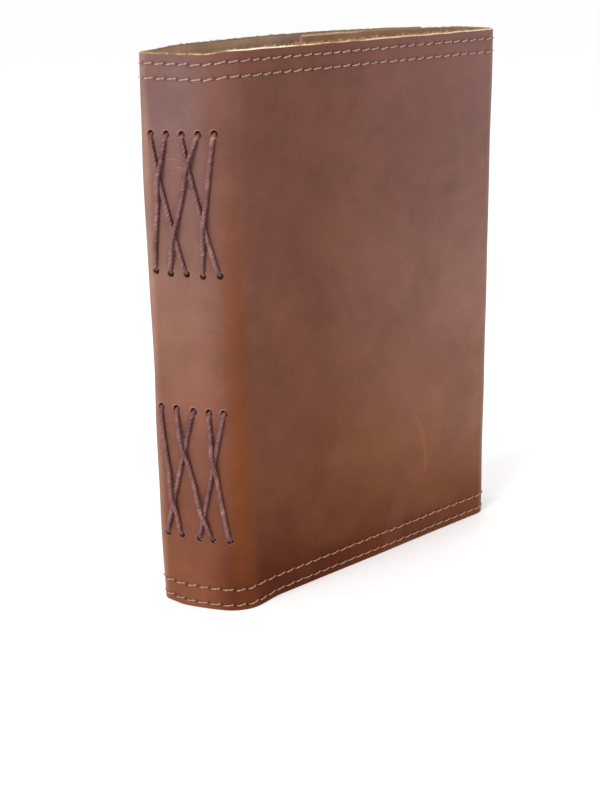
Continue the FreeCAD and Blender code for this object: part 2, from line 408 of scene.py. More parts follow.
def stitch_pull(s, z):
    """How deep the stitching pulls the leather in, and how dark its needle holes are (0 to 1): painted shade
    in the holes.
    """
    pull = np.zeros(np.broadcast(s, z).shape)
    dark = np.zeros_like(pull)
    for inset in SEAM_INSETS:
        within = (s > S_MIN + inset - MM) & (s < S_MAX - inset + MM)
        for height in (inset, BOOK_HEIGHT - inset):
            depth, hole = row_pull(nearest(s, row_needles(height)), z - height, within)
            pull += depth
            dark += hole * (1 - 0.6 * smooth(0.0, 15 * MM, s) if height < BOOK_HEIGHT / 2 else 0.78)
        along = nearest(z, end_needles(inset))
        within = (z > inset - MM) & (z < BOOK_HEIGHT - inset + MM)
        for place in (S_MIN + inset, S_MAX - inset):
            depth, hole = row_pull(along, s - place, within)
            pull += depth
            dark += hole
    return pull, np.clip(dark, 0, 1)


# ---------------- meshes
def add_mesh(name, vertices, faces, materials, uv, face_material=None, tone=None, flat=()):
    """A new object. uv and tone have a value for each vertex. flat lists the faces with hard edges."""
    mesh = bpy.data.meshes.new(name)
    mesh.from_pydata(np.asarray(vertices).tolist(), [], faces)
    mesh.update()
    for material in materials:
        mesh.materials.append(material)
    smooth_flags = np.ones(len(faces), bool)
    smooth_flags[list(flat)] = False
    mesh.polygons.foreach_set("use_smooth", smooth_flags)
    if face_material is not None:
        mesh.polygons.foreach_set("material_index", np.asarray(face_material, np.int32))
    corner_vertex = np.zeros(len(mesh.loops), np.int32)
    mesh.loops.foreach_get("vertex_index", corner_vertex)
    layer = mesh.uv_layers.new(name="sheet")
    layer.data.foreach_set("uv", np.asarray(uv)[corner_vertex].astype(np.float32).ravel())
    if tone is not None:
        layer = mesh.attributes.new("tone", "FLOAT", "POINT")
        layer.data.foreach_set("value", np.asarray(tone, np.float32))
    if flat:
        hard = {frozenset(pair) for k in flat for pair in zip(faces[k], faces[k][1:] + faces[k][:1])}
        sharp = [frozenset(edge.vertices) in hard for edge in mesh.edges]
        mesh.edges.foreach_set("use_edge_sharp", sharp)
    mesh.validate()
    return add_object(name, mesh)


def ring_faces(one, two):
    """The faces between two closed rings with the same number of vertices."""
    count = len(one)
    return [(one[a], one[(a + 1) % count], two[(a + 1) % count], two[a]) for a in range(count)]


def reach_along(points):
    """How far along an open line each of its points is."""
    return np.concatenate([[0.0], np.cumsum(np.linalg.norm(np.diff(points, axis=0), axis=1))])


def normalized(vectors):
    return vectors / np.linalg.norm(vectors, axis=1)[:, None]


GRAIN, FLESH, RAW = 0, 1, 2
# (mm deep, mm below the edge) across the cut edge
EDGE_PROFILE = ((0.10, 0.10), (0.40, 0.0), (1.2, -0.06), (2.0, 0.0), (2.30, 0.10))
EDGE_WAVE = 0.07 * MM  # how far the cut top edge wanders up and down
EDGE_ROUGHNESS = 0.035 * MM
END_SQUEEZE = ((0.12, 0.92), (0.0, 0.66))  # (mm from the end, share of the thickness)
TUFTS_PER_MM = 1.5
FIBRES_PER_TUFT = 5
FIBRE_RADII = (0.08, 0.20)  # in mm, at the foot of a fibre
# (mm from the hole's centre, mm deep, material) for each ring, from the rim to the flesh side
HOLE_RINGS = (
    (2.15, -0.05, GRAIN), (1.86, -0.14, GRAIN), (1.66, -0.05, GRAIN), (1.56, 0.3, RAW),
    (1.55, 1.2, RAW), (1.58, 2.15, RAW), (1.85, 2.42, FLESH),
)
HOLE_SHADE = ((0.0, 0.3, 1.2, 2.15), (0.0, 0.1, 0.3, 0.6))  # (mm deep, how dark)
ROWS, RIM = len(GRID_Z), len(EDGE_PROFILE)
LOOP = 2 * (ROWS + RIM)  # the knots of one closed section


def loop_profile():
    """One closed section across the sheet's height: (depth, height, material) for each knot."""
    depth = [0.0] * ROWS + [d * MM for d, _ in EDGE_PROFILE]
    height = list(GRID_Z) + [BOOK_HEIGHT - h * MM for _, h in EDGE_PROFILE]
    depth += [HIDE] * ROWS + [d * MM for d, _ in EDGE_PROFILE[::-1]]
    height += list(GRID_Z[::-1]) + [h * MM for _, h in EDGE_PROFILE[::-1]]
    kinds = [GRAIN] * (ROWS - 1) + [RAW] * (RIM + 1) + [FLESH] * (ROWS - 1) + [RAW] * (RIM + 1)
    return np.array(depth), np.array(height), kinds


def hide_columns(start, end):
    """The columns of the grid in one piece, and the share of the thickness that each one has."""
    columns = GRID_S[(GRID_S > start - 1e-7) & (GRID_S < end + 1e-7)]
    shares = np.ones(len(columns))
    off, squeezed = np.array(END_SQUEEZE).T
    if start <= S_MIN:
        columns = np.concatenate([(S_MIN + off * MM)[::-1], columns])
        shares = np.concatenate([squeezed[::-1], shares])
    if end >= S_MAX:
        columns = np.concatenate([columns, S_MAX - off * MM])
        shares = np.concatenate([shares, squeezed])
    return columns, shares


def hide_surface(columns, shares, seed):
    """The sections at all the columns, one after the other: (points, uv, how dark each point is painted, as
    shade in the needle holes).
    """
    depth, height, _ = loop_profile()
    s = np.repeat(columns[:, None], LOOP, axis=1)
    z = np.repeat(height[None, :], len(columns), axis=0)
    d = HIDE / 2 + (depth[None, :] - HIDE / 2) * shares[:, None]
    along, up = wander(s, z)
    s, z = s + along, z + up
    pull, dark = stitch_pull(s, z)
    outside = np.clip(1 - d / (HIDE / 2), -1, 1)
    wave = EDGE_WAVE * waves(s, z * 0, 11, (9, 40)) * smooth(12 * MM, 1 * MM, np.minimum(z, BOOK_HEIGHT - z))
    wave = wave * (z > BOOK_HEIGHT / 2)
    rough = np.random.default_rng(seed).normal(0, EDGE_ROUGHNESS, s.shape)
    rough[[0, -1]] = 0.0
    on_edge = np.isin(np.arange(LOOP), list(range(ROWS, ROWS + RIM)))
    points = on_sheet(s, z, d + pull * outside)
    points[..., 2] += wave + rough * on_edge[None, :]
    uv = np.stack([s, z + np.where(on_edge, d, 0.0)], axis=-1)
    return points.reshape(-1, 3), uv.reshape(-1, 2), dark.ravel()


def punched_holes(start, end, columns, index, keep):
    """The walls of the punched holes, as lists of points, uv, tones, faces and kinds of face.

    index has the numbers of the hide's vertices. The quads that give way to a hole are taken
    out of keep. The holes' own vertices are numbered after the hide's.
    """
    vertices, uv, tone, faces, kinds = [], [], [], [], []
    count = index.size
    for station in HOLE_WANDER:
        row = int(np.argmin(np.abs(GRID_Z - station)))
        for column in range(1, COLUMNS + 1):
            if not start < column_s(column) < end:
                continue
            at = int(np.argmin(np.abs(columns - column_s(column))))
            ring = punched_ring(at, row)
            previous = [index[i, j] for i, j in ring]
            back = [index[i, LOOP - RIM - 1 - j] for i, j in ring]
            for i in range(at - 4, at + 4):
                for j in range(row - 2, row + 2):
                    keep[i, j] = False
                    keep[i, LOOP - RIM - 2 - j] = False
            middle_s, middle_z = hole_centre(column, station)
            angle = [math.atan2(GRID_Z[j] - GRID_Z[row], columns[i] - columns[at]) for i, j in ring]
            # lit is a painted highlight on the upper side of each hole's rim, stored as a negative tone
            lit = np.clip(0.6 * np.sin(np.array(angle) - 0.3), 0, 1)
            for radius, depth, kind in HOLE_RINGS:
                s = middle_s + radius * MM * np.cos(angle)
                z = middle_z + radius * MM * np.sin(angle)
                vertices.append(on_sheet(s, z, depth * MM))
                uv.append(np.stack([s, z], axis=-1))
                shaded = np.full(len(ring), np.interp(depth, *HOLE_SHADE))
                tone.append(-lit if depth < 0 and radius < 2 else shaded)
                here = list(range(count, count + len(ring)))
                count += len(ring)
                faces += ring_faces(previous, here)
                kinds += [kind] * len(ring)
                previous = here
            faces += ring_faces(previous, back)
            kinds += [FLESH] * len(ring)
    return vertices, uv, tone, faces, kinds


def end_caps(section):
    """The faces that close one end of a piece, over the numbers of its section's vertices."""
    inner = LOOP - RIM - 1
    sides = list(zip(section[:ROWS], section[inner:inner - ROWS:-1]))
    caps = [(a, b, d, c) for (a, c), (b, d) in zip(sides, sides[1:])]
    caps.append(tuple(section[m] for m in range(ROWS - 1, ROWS + RIM + 1)))
    caps.append(tuple(section[m % LOOP] for m in range(inner, LOOP + 1)))
    return caps


def hide_piece(name, start, end, materials):
    """The part of the hide between two columns of the grid, closed at its cuts and free ends."""
    columns, shares = hide_columns(start, end)
    points, sheet_uv, dark = hide_surface(columns, shares, len(name))
    index = np.arange(len(points)).reshape(len(columns), LOOP)
    keep = np.ones((len(columns) - 1, LOOP), bool)
    vertices, uv, tone, faces, kinds = punched_holes(start, end, columns, index, keep)
    section_kinds = loop_profile()[2]
    for i in range(len(columns) - 1):
        for m in range(LOOP):
            if keep[i, m]:
                n = (m + 1) % LOOP
                faces.append((index[i, m], index[i + 1, m], index[i + 1, n], index[i, n]))
                kinds.append(section_kinds[m])
    flat = []
    for section, turn, is_cut in ((index[0], 1, start > S_MIN), (index[-1], -1, end < S_MAX)):
        caps = [cap[::turn] for cap in end_caps(section)]
        if is_cut:
            flat += range(len(faces), len(faces) + len(caps))
        faces += caps
        kinds += [RAW] * len(caps)
    fibre_points, fibre_uv, fibres = edge_fibres(start, end, len(points) + sum(map(len, vertices)))
    faces += fibres
    kinds += [RAW] * len(fibres)
    return add_mesh(
        name, np.concatenate([points, *vertices, fibre_points]),
        [tuple(int(v) for v in face) for face in faces], materials,
        np.concatenate([sheet_uv, *uv, fibre_uv]), kinds,
        np.concatenate([dark, *tone, np.full(len(fibre_points), -1.0)]), flat,
    )


def edge_fibres(start, end, first_index):
    """Tufts of loose fibres along the cut top edge. Each fibre is a thin closed spike."""
    rng = np.random.default_rng(int(abs(start) * 1e5))
    tufts = int((end - start) / MM * TUFTS_PER_MM)
    count = tufts * FIBRES_PER_TUFT
    place = rng.uniform(start + MM, end - MM, tufts)
    ragged = 1 + 1.2 * plateau(place, 12, 34, 145, 95)
    ragged = ragged * np.where((place < BACK_FOLD) | (place > FORE_FOLD - 8 * MM), 0.5, 1.0)
    size = np.repeat(np.minimum(rng.gamma(1.6, 0.18, tufts) * ragged, 1.5), FIBRES_PER_TUFT) + 0.12
    s = np.repeat(place, FIBRES_PER_TUFT)
    s = s + rng.normal(0, 0.22, count) * MM
    depth = rng.uniform(0.9, 2.35, count) * MM
    tall = size * rng.uniform(0.5, 1.3, count) * MM
    thick = rng.uniform(*FIBRE_RADII, count) * MM
    lean = rng.normal(0, 0.4, (count, 2)) * tall[:, None]
    around = np.array([0, 1, 2]) * 2 * math.pi / 3
    foot_s = s[:, None] + thick[:, None] * np.cos(around)
    foot_depth = depth[:, None] + thick[:, None] * np.sin(around)
    foot = on_sheet(foot_s, np.full((count, 3), BOOK_HEIGHT - 0.08 * MM), foot_depth)
    tip = on_sheet(s + lean[:, 0], np.full(count, BOOK_HEIGHT) + tall, depth + lean[:, 1])
    points = np.concatenate([foot, tip[:, None, :]], axis=1).reshape(-1, 3)
    faces = []
    for k in range(count):
        a = first_index + 4 * k
        faces += [(a, a + 2, a + 1), (a, a + 1, a + 3), (a + 1, a + 2, a + 3), (a + 2, a, a + 3)]
    uv = np.stack([np.repeat(s, 4), BOOK_HEIGHT + np.repeat(depth, 4)], axis=-1)
    return points, uv, faces


def punched_ring(at, row):
    """The grid knots round a punched hole, anticlockwise from its lower left."""
    ring = [(at + k, row - 2) for k in range(-4, 4)]
    ring += [(at + 4, row + k) for k in range(-2, 2)]
    ring += [(at + k, row + 2) for k in range(4, -4, -1)]
    return ring + [(at - 4, row + k) for k in range(2, -2, -1)]


# ---------------- shaders
WHITE = (1.0, 1.0, 1.0, 1.0)
LACED_MIDDLE = -19.5 * MM  # halfway between the outer columns of holes


def rgba(colour):
    """An sRGB colour of three parts, 0 to 255, as Blender's linear RGBA. Anything else stays."""
    if not isinstance(colour, tuple) or len(colour) != 3:
        return colour
    parts = [value / 255 for value in colour]
    return tuple(c / 12.92 if c <= 0.04045 else ((c + 0.055) / 1.055) ** 2.4 for c in parts) + (1.0,)


class Shader:
    """A few short calls that build one node material."""

    def __init__(self, name):
        self.material = bpy.data.materials.new(name)
        self.material.use_nodes = True
        self.tree = self.material.node_tree
        self.surface = self.tree.nodes["Principled BSDF"]

    def node(self, kind, inputs=None, **settings):
        made = self.tree.nodes.new(kind)
        for key, value in settings.items():
            setattr(made, key, value)
        for key, value in (inputs or {}).items():
            self.feed(made.inputs[key], value)
        return made

    def feed(self, socket, value):
        if isinstance(value, bpy.types.NodeSocket):
            self.tree.links.new(value, socket)
        else:
            socket.default_value = value

    def uv(self):
        return self.node("ShaderNodeUVMap", uv_map="sheet").outputs["UV"]

    def stretched(self, vector, x, y):
        made = self.node("ShaderNodeMapping", {"Vector": vector, "Scale": (x, y, 1.0)})
        return made.outputs["Vector"]

    def shifted(self, vector, x, y):
        made = self.node("ShaderNodeMapping", {"Vector": vector, "Location": (x, y, 0.0)})
        return made.outputs["Vector"]

    def noise(self, vector, scale, detail=3.0, roughness=0.55, distortion=0.0):
        made = self.node("ShaderNodeTexNoise", {
            "Vector": vector, "Scale": scale, "Detail": detail, "Roughness": roughness,
            "Distortion": distortion,
        })
        return made.outputs["Fac"]

    def cells(self, vector, scale):
        return self.node("ShaderNodeTexVoronoi", {"Vector": vector, "Scale": scale}).outputs["Distance"]

    def math(self, operation, first, second=0.0):
        return self.node("ShaderNodeMath", {0: first, 1: second}, operation=operation).outputs[0]

    def times(self, first, *others):
        """The product of all the values."""
        for other in others:
            first = self.math("MULTIPLY", first, other)
        return first

    def weighted(self, *pairs):
        """The sum of the (value, weight) pairs."""
        total = self.times(*pairs[0])
        for pair in pairs[1:]:
            total = self.math("ADD", total, self.times(*pair))
        return total

    def span(self, value, low, high, to_low=0.0, to_high=1.0, kind="SMOOTHSTEP"):
        made = self.node("ShaderNodeMapRange", {
            "Value": value, "From Min": low, "From Max": high, "To Min": to_low, "To Max": to_high,
        }, interpolation_type=kind)
        return made.outputs["Result"]

    def mix(self, share, first, second, blend="MIX"):
        made = self.node("ShaderNodeMix", data_type="RGBA", blend_type=blend)
        self.feed(made.inputs[0], share)
        self.feed(made.inputs[6], rgba(first))
        self.feed(made.inputs[7], rgba(second))
        return made.outputs[2]

    def ramp(self, value, *stops):
        made = self.node("ShaderNodeValToRGB", {"Fac": value})
        elements = made.color_ramp.elements
        for k, (place, colour) in enumerate(stops):
            element = elements[k] if k < 2 else elements.new(place)
            element.position = place
            element.color = rgba(colour)
        return made.outputs["Color"]

    def band(self, value, middle, half, soft):
        """1 within half of middle, easing to 0 over soft."""
        off = self.math("ABSOLUTE", self.math("SUBTRACT", value, middle))
        return self.span(off, half + soft, half)

    def by_place(self, z, *colours):
        """A colour that changes with the height, from the foot to the head of the book."""
        return self.ramp(self.math("DIVIDE", z, BOOK_HEIGHT), *zip((0.05, 0.23, 0.53, 0.87), colours))

    def tinted(self, share, colour, other, strength=1.0):
        """The colour, moved towards the other one by share times strength."""
        return self.mix(self.times(share, strength), colour, other)

    def parts(self, vector):
        made = self.node("ShaderNodeSeparateXYZ", {"Vector": vector})
        return made.outputs["X"], made.outputs["Y"]

    def tones(self):
        """The mesh's tone attribute as two shares: how dark (painted shade in the holes), and how pale (a
        painted highlight on the holes' rims, and the mark of the edge fibres).
        """
        tone = self.node("ShaderNodeAttribute", attribute_name="tone").outputs["Fac"]
        return self.span(tone, 0.0, 1.0, kind="LINEAR"), self.span(tone, 0.0, -1.0, kind="LINEAR")

    def bump(self, height, distance, strength=1.0, normal=None):
        inputs = {"Height": height, "Distance": distance, "Strength": strength}
        if normal is not None:
            inputs["Normal"] = normal
        return self.node("ShaderNodeBump", inputs).outputs["Normal"]

    def finish(self, **values):
        for key, value in values.items():
            self.feed(self.surface.inputs[key.replace("_", " ").title().replace("Ior", "IOR")], value)
        return self.material


def grain_leather():
    """Reddish-brown pull-up leather: cloudy and waxy, warm at the folds. Its colour also carries painted
    light: darker and more orange towards the foot as painted shade, paler and greyer towards the head and on
    the front's right as painted sheen.
    """
    shader = Shader("grain_leather")
    uv = shader.uv()
    s, z = shader.parts(uv)
    # painted light in the base colour: paler and greyer towards the head and on the front's right is painted
    # sheen; darker and more orange towards the foot is painted shade
    near = shader.by_place(z, (76, 26, 0), (97, 54, 35), (98, 59, 45), (97, 59, 47))
    far = shader.by_place(z, (98, 52, 26), (125, 85, 68), (125, 90, 79), (110, 77, 71))
    back = shader.by_place(z, (105, 60, 40), (106, 64, 48), (115, 80, 67), (103, 75, 71))
    warm = shader.by_place(z, (97, 50, 18), (101, 52, 20), (102, 56, 30), (104, 69, 59))
    colour = shader.mix(shader.span(s, 0.05, 0.165, kind="LINEAR"), near, far)
    colour = shader.mix(shader.span(s, 0.002, -0.018), colour, back)
    # paler, greyer bands along the back fold and the fore-edge fold: painted reflection of the white
    # backdrop where the folds turn away
    pale = shader.times(shader.band(s, SPINE_END - 1.5 * MM, 0.5 * MM, 3.5 * MM), 0.4)
    colour = shader.mix(pale, colour, (150, 116, 100))
    pale = shader.times(shader.band(s, FORE_FOLD, 2 * MM, 4 * MM), 0.25)
    colour = shader.mix(pale, colour, (132, 108, 98))
    clouds = shader.noise(uv, 21.0, 4.0, 0.5, 0.5)
    blotches = shader.noise(uv, 95.0, 4.0, 0.55, 0.3)
    specks = shader.noise(uv, 620.0, 3.0, 0.6)
    fold = shader.band(s, 0.0025, 0.0025, 0.006)
    fold = shader.times(fold, shader.span(clouds, 0.3, 0.6, 0.6, 1.0))
    colour = shader.tinted(fold, colour, warm, 0.75)
    cloudy = shader.weighted((clouds, 0.5), (blotches, 0.3), (specks, 0.2))
    shade = shader.ramp(
        cloudy, (0.32, (0.80, 0.78, 0.77, 1.0)), (0.5, WHITE), (0.68, (1.22, 1.22, 1.22, 1.0)),
    )
    colour = shader.mix(1.0, colour, shade, "MULTIPLY")
    golden = shader.span(shader.noise(uv, 27.0, 3.0, 0.55, 0.25), 0.30, 0.74)
    golden = shader.times(golden, shader.span(z, 0.10, 0.035), shader.span(z, 0.010, 0.020))
    golden = shader.times(golden, shader.band(s, 0.085, 0.030, 0.030))
    colour = shader.tinted(golden, colour, (122, 72, 30), 0.5)
    rosy = shader.span(shader.noise(shader.shifted(uv, 0.7, 0.2), 26.0, 3.0, 0.5, 0.8), 0.52, 0.68)
    colour = shader.tinted(rosy, colour, (124, 72, 64), 0.15)
    # one long curved rub, and short pale scuffs near the foot
    bow = shader.math("POWER", shader.math("SUBTRACT", z, 0.0365), 2.0)
    rub = shader.math("ADD", s, shader.times(bow, 11.0))
    ragged = shader.times(shader.math("SUBTRACT", blotches, 0.5), 0.0012)
    rub = shader.band(shader.math("ADD", rub, ragged), 0.1171, 0.0005, 0.0013)
    ends = shader.times(shader.span(z, 0.0715, 0.0600), shader.span(z, 0.0290, 0.0375))
    rub = shader.times(rub, ends)
    colour = shader.tinted(rub, colour, (138, 88, 44), 0.36)
    scuffs = shader.noise(shader.stretched(uv, 60.0, 240.0), 1.0, 5.0, 0.75)
    scuffs = shader.times(shader.span(scuffs, 0.66, 0.78), shader.span(clouds, 0.46, 0.6))
    colour = shader.tinted(scuffs, colour, (166, 118, 96), 0.5)
    nicks = shader.span(shader.cells(uv, 62.0), 0.030, 0.010)
    colour = shader.tinted(nicks, colour, (178, 132, 104), 0.35)
    # the tone attribute carries painted light: painted shade in the needle holes, and a painted highlight on
    # the upper rim of each punched hole
    dark, pale = shader.tones()
    colour = shader.tinted(dark, colour, (30, 15, 12), 0.92)
    colour = shader.tinted(pale, colour, (180, 150, 130), 0.5)
    pores = shader.cells(uv, 1500.0)
    grain = shader.noise(uv, 900.0, 4.0, 0.65)
    creases = shader.noise(shader.stretched(uv, 70.0, 1150.0), 1.0, 3.0, 0.6, 0.3)
    laced = shader.times(shader.band(s, LACED_MIDDLE, 0.011, 0.005), shader.band(z, 0.1915, 0.0025, 0.0025))
    creases = shader.times(shader.span(creases, 0.5, 0.7), laced)
    colour = shader.tinted(creases, colour, (172, 124, 106), 0.35)
    normal = shader.bump(pores, 0.00006, 0.5)
    normal = shader.bump(grain, 0.00010, 0.6, normal)
    normal = shader.bump(creases, 0.00025, 0.8, normal)
    normal = shader.bump(blotches, 0.00035, 0.6, normal)
    rough = shader.span(cloudy, 0.35, 0.65, 0.56, 0.44, "LINEAR")
    return shader.finish(base_color=colour, normal=normal, roughness=rough, specular_ior_level=0.1)


def flesh_leather():
    """The hide's inside: short pale nap, browner on the fore-edge and the tucked flap as painted shade."""
    shader = Shader("flesh_leather")
    uv = shader.uv()
    clouds = shader.noise(uv, 60.0, 4.0, 0.6, 0.4)
    fibres = shader.noise(shader.stretched(uv, 1.0, 0.35), 1500.0, 4.0, 0.7)
    mixed = shader.weighted((clouds, 0.6), (fibres, 0.4))
    colour = shader.ramp(mixed, (0.30, (130, 102, 84)), (0.52, (156, 126, 107)), (0.74, (182, 152, 131)))
    # painted shade: darker and browner from the fore-edge on, where the hide's inside lies tucked between
    # the covers
    tucked = shader.span(shader.parts(uv)[0], FORE_FOLD - 4 * MM, FORE_FOLD + 10 * MM)
    colour = shader.mix(tucked, colour, (0.66, 0.585, 0.505, 1.0), "MULTIPLY")
    normal = shader.bump(fibres, 0.00022, 0.8)
    return shader.finish(base_color=colour, normal=normal, roughness=0.85, specular_ior_level=0.2)


def raw_edge():
    """The cut edge of the hide, and the walls of the punched holes: pale fibres, dark in holes as painted
    shade, with painted shade too on the bottom edge and where the edge lies inside the fold.
    """
    shader = Shader("raw_edge")
    uv = shader.uv()
    fibres = shader.noise(shader.stretched(uv, 1.0, 0.5), 1400.0, 5.0, 0.7)
    clouds = shader.noise(uv, 240.0, 3.0, 0.6)
    mixed = shader.weighted((clouds, 0.5), (fibres, 0.5))
    tan = shader.ramp(mixed, (0.38, (94, 70, 48)), (0.48, (142, 111, 80)), (0.58, (194, 166, 128)))
    cream = shader.ramp(mixed, (0.34, (190, 158, 122)), (0.46, (222, 200, 168)), (0.60, (240, 230, 208)))
    olive = shader.ramp(mixed, (0.34, (82, 72, 54)), (0.62, (124, 112, 84)))
    s, z = shader.parts(uv)
    ragged = shader.times(shader.band(s, 0.055, 0.018, 0.006), shader.span(clouds, 0.42, 0.56))
    front = shader.mix(shader.span(s, 0.001, 0.006), tan, cream)
    front = shader.mix(shader.span(s, 0.040, 0.060), front, (0.78, 0.70, 0.66, 1.0), "MULTIPLY")
    front = shader.tinted(ragged, front, (158, 104, 60), 0.85)
    colour = shader.mix(shader.span(s, -0.036, -0.052), front, olive)
    # painted shade: the cut top edge of the fore-edge and of the tucked flap is darker brown inside the fold
    hidden = shader.times(shader.span(s, FORE_FOLD + 2 * MM, FORE_FOLD + 8 * MM),
                         shader.span(s, FLAP_FOLD + 57 * MM, FLAP_FOLD + 51 * MM))
    colour = shader.tinted(hidden, colour, (112, 88, 64), 0.85)
    inner = shader.span(z, BOOK_HEIGHT + 0.0014, BOOK_HEIGHT + 0.0021)
    colour = shader.tinted(inner, colour, (150, 106, 66), 0.8)
    # painted shade: the bottom cut edge is darker brown, in the shade at the foot
    colour = shader.tinted(shader.span(z, 0.006, 0.004), colour, (130, 90, 60), 0.8)
    # painted shade: the flap's free cut end is darker brown inside the book
    end = shader.band(s, S_MAX, 0.1 * MM, 0.1 * MM)
    colour = shader.tinted(end, colour, (112, 84, 64), 0.85)
    between = shader.band(z, BOOK_HEIGHT / 2, 100 * MM, 5 * MM)
    punched = shader.times(between, shader.band(s, LACED_MIDDLE, 0.020, 0.002))
    colour = shader.tinted(punched, colour, (140, 92, 68), 0.9)
    # painted shade: the punched holes' walls grow darker with depth, after HOLE_SHADE
    dark, pale = shader.tones()
    colour = shader.tinted(dark, colour, (76, 46, 34))
    fibre = shader.times(pale, shader.span(s, -0.045, -0.035))
    colour = shader.tinted(fibre, colour, (190, 142, 86), 0.6)
    normal = shader.bump(fibres, 0.00030, 0.9)
    return shader.finish(base_color=colour, normal=normal, roughness=0.9, specular_ior_level=0.1)


def thread_cotton(name, head, foot, depth=0.45):
    """Waxed two-ply thread. Its UV runs along the thread and round the ply, in metres."""
    shader = Shader(name)
    uv = shader.uv()
    place = shader.node("ShaderNodeTexCoord").outputs["Object"]
    height = shader.node("ShaderNodeSeparateXYZ", {"Vector": place}).outputs["Z"]
    strands = shader.noise(shader.stretched(uv, 1.0, 5.0), 900.0, 3.0, 0.6)
    clouds = shader.noise(uv, 130.0, 2.0, 0.5)
    mixed = shader.weighted((clouds, 0.5), (strands, 0.5))
    # the colour runs from the foot to the head; the darker, warmer foot is painted shade
    colour = shader.mix(shader.span(height, 0.0, BOOK_HEIGHT), foot, head)
    dark, pale = 1.0 - depth, 1.0 + depth * 0.55
    shade = shader.ramp(
        mixed, (0.34, (dark, dark * 0.97, dark * 0.94, 1.0)), (0.5, WHITE), (0.66, (pale, pale, pale, 1.0)),
    )
    colour = shader.mix(1.0, colour, shade, "MULTIPLY")
    normal = shader.bump(strands, 0.00008, 0.8)
    return shader.finish(base_color=colour, normal=normal, roughness=0.6, specular_ior_level=0.3)


def lacing_cotton():
    """Waxed plum-brown cord. Its UV runs (along the cord, round it), in metres."""
    shader = Shader("lacing")
    uv = shader.uv()
    strands = shader.noise(shader.stretched(uv, 0.6, 3.0), 900.0, 4.0, 0.65)
    clouds = shader.noise(uv, 110.0, 3.0, 0.6)
    mixed = shader.weighted((clouds, 0.4), (strands, 0.6))
    colour = shader.ramp(mixed, (0.36, (62, 32, 32)), (0.5, (102, 62, 60)), (0.66, (156, 110, 104)))
    normal = shader.bump(strands, 0.00016, 0.9)
    return shader.finish(base_color=colour, normal=normal, roughness=0.5, specular_ior_level=0.4)


def rag_paper():
    """Cream paper, dark on the outermost fold where the lacing's holes go through it: painted shade in place
    of the holes' openings.
    """
    shader = Shader("paper")
    uv = shader.uv()
    across, z = shader.parts(uv)
    pulp = shader.noise(uv, 700.0, 4.0, 0.65)
    clouds = shader.noise(uv, 45.0, 3.0, 0.5)
    mixed = shader.weighted((clouds, 0.35), (pulp, 0.65))
    colour = shader.ramp(mixed, (0.32, (224, 211, 187)), (0.68, (242, 234, 216)))
    # painted shade: a dark tint on the fold at each lacing hole, in place of the shade inside the hole's
    # opening
    for height in HOLE_WANDER:
        painted_hole_shade = shader.times(shader.band(across, 0.0, 2.6 * MM, 0.6 * MM),
                           shader.band(z, height, 1.9 * MM, 0.5 * MM))
        colour = shader.tinted(painted_hole_shade, colour, (92, 58, 44), 0.95)
    normal = shader.bump(pulp, 0.00006, 0.7)
    return shader.finish(base_color=colour, normal=normal, roughness=0.85)


leather = [grain_leather(), flesh_leather(), raw_edge()]
# the thread's darker, warmer foot colour is painted shade
thread = thread_cotton("thread", (157, 127, 114), (155, 118, 96))
# the stitches on the flesh side take a darker, browner thread colour
inner_thread = thread_cotton("flesh_side_thread", (138, 108, 82), (138, 108, 82))
lacing = lacing_cotton()
paper = rag_paper()

# ---------------- the hide's four pieces
CUT_SPINE = FIFTH_COLUMN - 15 * CELL
CUT_FRONT = min(GRID_S, key=lambda s: abs(s - (FORE_FOLD - 12 * MM)))
CUT_FORE_EDGE = min(GRID_S, key=lambda s: abs(s - (FORE_FOLD + FLAP_FOLD) / 2))
# each piece's (start, end, the two bodies that it joins, where the bend starts, where it ends)
PANELS = {
    "back_cover": (S_MIN, CUT_SPINE, "spine", "back_cover", -35.7 * MM, -50 * MM),
    "front_cover": (CUT_SPINE, CUT_FRONT, "spine", "front_cover", -3.2 * MM, 12 * MM),
    "fore_edge": (
        CUT_FRONT, CUT_FORE_EDGE, "front_cover", "fore_edge", FORE_FOLD - 9 * MM, FORE_FOLD + 9 * MM,
    ),
    "flap": (CUT_FORE_EDGE, S_MAX, "fore_edge", "flap", FLAP_FOLD - 7 * MM, FLAP_FOLD + 8 * MM),
}


def stitch_nodes(panel):
    """The names of the rows of stitches on a panel. The front cover's piece has the spine's too."""
    rows = [f"{panel}_{edge}_{row}_stitches" for edge in ("top", "bottom") for row in ("outer", "inner")]
    if panel in ("back_cover", "flap"):
        rows += [f"{panel}_free_edge_{row}_stitches" for row in ("outer", "inner")]
    if panel == "front_cover":
        rows += stitch_nodes("spine")
    return rows


# ---------------- stitches
PLY_RADIUS = 0.20 * MM
PLY_OFFSET = 0.17 * MM
STITCH_RINGS = 11
PLY_SIDES = 7
PLY_TURNS = 1.15  # turns of the two plies along one stitch
STITCH_FOOT = -0.62 * MM  # a stitch starts and ends this far under the grain
STITCH_RISE = 0.84  # and its middle is this many mm higher
STITCH_MARGIN = 0.42  # in mm, from a hole's centre to the thread
TIGHT_MARGIN = 0.22  # in mm, how much less it is at the front's foot
STITCH_LEAN = 0.27 * MM  # how far each end is off the row


def stitch_runs():
    """Every stitch as (start s, start z, end s, end z)."""
    runs = []
    for inset in SEAM_INSETS:
        for height in (inset, BOOK_HEIGHT - inset):
            places = row_needles(height)
            runs += [(a, height, b, height) for a, b in zip(places, places[1:])]
        places = end_needles(inset)
        for s in (S_MIN + inset, S_MAX - inset):
            runs += [(s, a, s, b) for a, b in zip(places, places[1:])]
    return np.array(runs)


